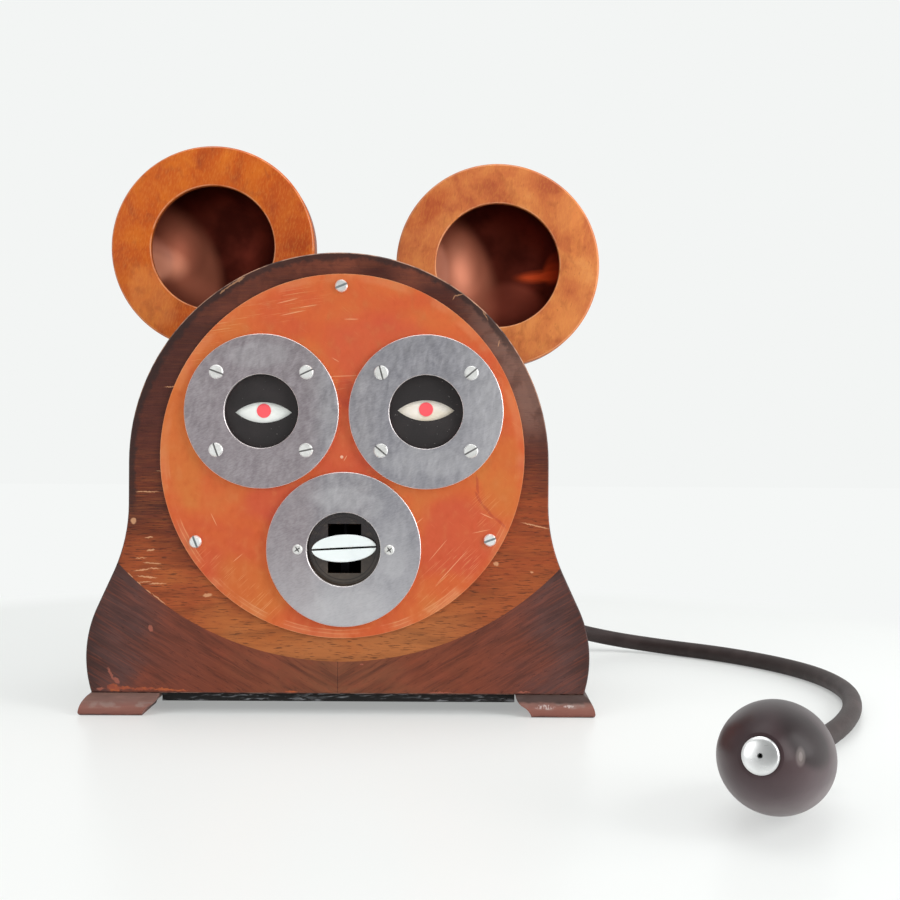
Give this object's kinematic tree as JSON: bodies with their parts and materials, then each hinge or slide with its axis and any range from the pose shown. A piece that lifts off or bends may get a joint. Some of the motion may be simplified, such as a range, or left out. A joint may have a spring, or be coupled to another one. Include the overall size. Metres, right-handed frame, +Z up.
{
  "type": "bulb-worked face automaton",
  "caption": "Arch-topped clock case turned into a face: round metal plate with sliding eyes and moving lips, round ears, and a squeeze bulb on a hose that works them.",
  "frame": {"origin": "centre of the case's footprint, on the surface that the case stands on", "axes": "+Z up, the face looks towards -Y, +X to the right of somebody who looks at the face"},
  "size_m": [0.4844, 0.4815, 0.36],
  "materials": {
    "case_veneer_field": "satin varnish",
    "case_veneer_apron": "satin varnish",
    "case_wood": "satin varnish",
    "foot_wood": "satin varnish",
    "floor_wood": "stained",
    "ear_wood": "satin varnish",
    "chassis_wood": "raw",
    "copper_sheet": "worn satin",
    "ring_aluminium": "brushed",
    "screw_aluminium": "satin",
    "screw_steel": "satin",
    "steel": "satin",
    "brass": "satin",
    "black_sheet": "matte",
    "eye_plastic": "satin",
    "pupil_paint": "gloss",
    "lip_plastic": "gloss",
    "brown_plastic": "gloss",
    "leather_cloth": "matte",
    "rubber": "satin",
    "chrome": "polished"
  },
  "bodies": {
    "case": {"air_hose": "rubber", "apron_veneer_left": "case_veneer_apron", "apron_veneer_right": "case_veneer_apron", "axle_sleeve": "brass", "bellows_base": "chassis_wood", "bellows_cloth": "leather_cloth", "bottom_board": "floor_wood", "case_back": "case_wood", "case_front": "case_wood", "case_shell": "case_wood", "chassis_board": "chassis_wood", "chassis_brackets": "steel", "crank_post": "brass", "door_hinges": "brass", "ear_bowl_left": "copper_sheet", "ear_bowl_right": "copper_sheet", "ear_ring_left": "ear_wood", "ear_ring_right": "ear_wood", "ear_screws": "screw_steel", "eye_mask_left": "black_sheet", "eye_mask_right": "black_sheet", "eye_ring_left": "ring_aluminium", "eye_ring_right": "ring_aluminium", "eye_ring_screws": "screw_aluminium", "eye_slide_guides": "brown_plastic", "face_plate": "copper_sheet", "face_plate_screws": "screw_steel", "feet_back": "foot_wood", "feet_front": "foot_wood", "field_veneer": "case_veneer_field", "hose_inlet": "chrome", "inlet_valve": "chrome", "inner_tube": "rubber", "lip_axle": "steel", "lip_bracket": "steel", "mouth_cup": "brown_plastic", "mouth_ring": "ring_aluminium", "mouth_ring_screws": "screw_aluminium", "release_valve": "chrome", "ring_screw_nuts": "screw_steel", "rod_guide": "chassis_wood", "squeeze_bulb": "rubber"},
    "lift": {"bellows_top": "chassis_wood", "push_rod": "steel", "lift_yoke": "steel", "yoke_pins_and_wire": "steel"},
    "eyes": {"eye_slide": "steel", "eye_white_left": "eye_plastic", "eye_white_right": "eye_plastic", "pupils": "pupil_paint"},
    "crank": {"eye_crank": "steel"},
    "upper_jaw": {"upper_lip": "lip_plastic", "upper_lip_arm": "steel"},
    "lower_jaw": {"lower_lip": "lip_plastic", "lower_lip_arm": "steel"},
    "door": {"rear_door": "case_wood", "door_hinge_leaves": "brass"},
    "button": {"door_button": "brass"},
    "thumb_screw": {"release_screw": "chrome"}
  },
  "joints": [
    {"name": "bellows_lift", "type": "slide", "parent": "case", "child": "lift", "axis": [0, 0, 1], "range_m": [0, 0.0042], "deforming": ["bellows_cloth", "squeeze_bulb"]},
    {"name": "eye_shift", "type": "slide", "parent": "case", "child": "eyes", "axis": [-1, 0, 0], "range_m": [0, 0.008]},
    {"name": "eye_crank_turn", "type": "hinge", "parent": "case", "child": "crank", "pos_m": [-0.014, -0.05, 0.143], "axis": [0, -1, 0], "range_deg": [0, 13.9]},
    {"name": "upper_lip_turn", "type": "hinge", "parent": "case", "child": "upper_jaw", "pos_m": [0.0034, -0.022, 0.0963], "axis": [-1, 0, 0], "range_deg": [0, 8.1]},
    {"name": "lower_lip_turn", "type": "hinge", "parent": "case", "child": "lower_jaw", "pos_m": [0.0034, -0.022, 0.0963], "axis": [1, 0, 0], "range_deg": [0, 8.1]},
    {"name": "door_swing", "type": "hinge", "parent": "case", "child": "door", "pos_m": [-0.075, 0.0653, 0.12], "axis": [0, 0, 1], "range_deg": [0, 110]},
    {"name": "door_button_turn", "type": "hinge", "parent": "case", "child": "button", "pos_m": [0.084, 0.0645, 0.12], "axis": [0, 1, 0], "range_deg": [0, 90]},
    {"name": "release_screw_turn", "type": "hinge", "parent": "case", "child": "thumb_screw", "pos_m": [0.22404, -0.21148, 0.01314], "axis": [0.915, -0.3154, 0.2517], "range_deg": [0, 270]}
  ],
  "couplings": [
    {"joint": "eye_shift", "follows": "bellows_lift", "ratio": 1.8966},
    {"joint": "eye_crank_turn", "follows": "bellows_lift", "rad_per_m": 57.471},
    {"joint": "upper_lip_turn", "follows": "bellows_lift", "rad_per_m": 33.333},
    {"joint": "lower_lip_turn", "follows": "bellows_lift", "rad_per_m": 33.333}
  ]
}
